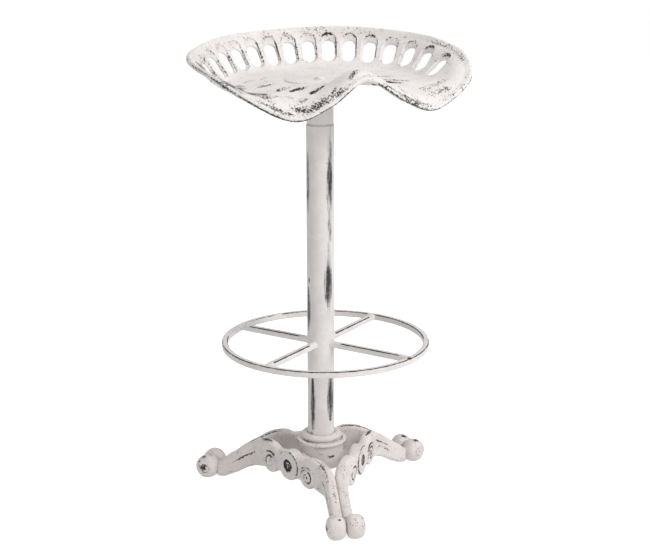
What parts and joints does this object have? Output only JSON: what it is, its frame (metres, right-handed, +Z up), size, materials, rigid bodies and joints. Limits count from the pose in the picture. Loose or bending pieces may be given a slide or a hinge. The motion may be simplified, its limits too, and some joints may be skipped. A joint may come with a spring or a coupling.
{
  "type": "tractor seat stool",
  "caption": "Swivelling bar stool with a pierced tractor seat on a tube column, a spoked ring footrest and a scrolled cast tripod base, in worn white paint.",
  "frame": {"origin": "on the floor, under the column's axis", "axes": "+Z up the column; the seat's front faces -Y"},
  "size_m": [0.4425, 0.3905, 0.748],
  "materials": {
    "distressed_paint": "off-white eggshell paint over a near-black undercoat, worn through at edges",
    "steel": "satin",
    "dark_steel": "dark, dry",
    "bearing_polymer": "matte"
  },
  "bodies": {
    "base": {"column_tube": "distressed_paint", "column_plug": "steel", "upper_bush": "bearing_polymer", "lower_bush": "bearing_polymer", "thrust_washer": "bearing_polymer", "footrest_ring": "distressed_paint", "footrest_spoke_1": "distressed_paint", "footrest_spoke_2": "distressed_paint", "footrest_spoke_3": "distressed_paint", "footrest_spoke_4": "distressed_paint", "base_hub": "distressed_paint", "tie_washer": "steel", "tie_bolt": "steel", "leg_panel_1": "distressed_paint", "leg_panel_2": "distressed_paint", "leg_panel_3": "distressed_paint", "panel_washer_1": "steel", "panel_washer_2": "steel", "panel_washer_3": "steel", "panel_bolt_1": "dark_steel", "panel_bolt_2": "dark_steel", "panel_bolt_3": "dark_steel"},
    "seat": {"seat_pan": "distressed_paint", "seat_plate": "steel", "seat_sleeve": "distressed_paint", "swivel_spindle": "steel", "spindle_clip": "steel", "centre_washer": "distressed_paint", "centre_bolt": "dark_steel", "plate_screw_1": "steel", "plate_screw_2": "steel", "plate_screw_3": "steel", "plate_screw_4": "steel"}
  },
  "joints": [
    {"name": "seat_swivel", "type": "hinge", "parent": "base", "child": "seat", "pos_m": [0, 0, 0.616], "axis": [0, 0, 1], "continuous": true}
  ]
}
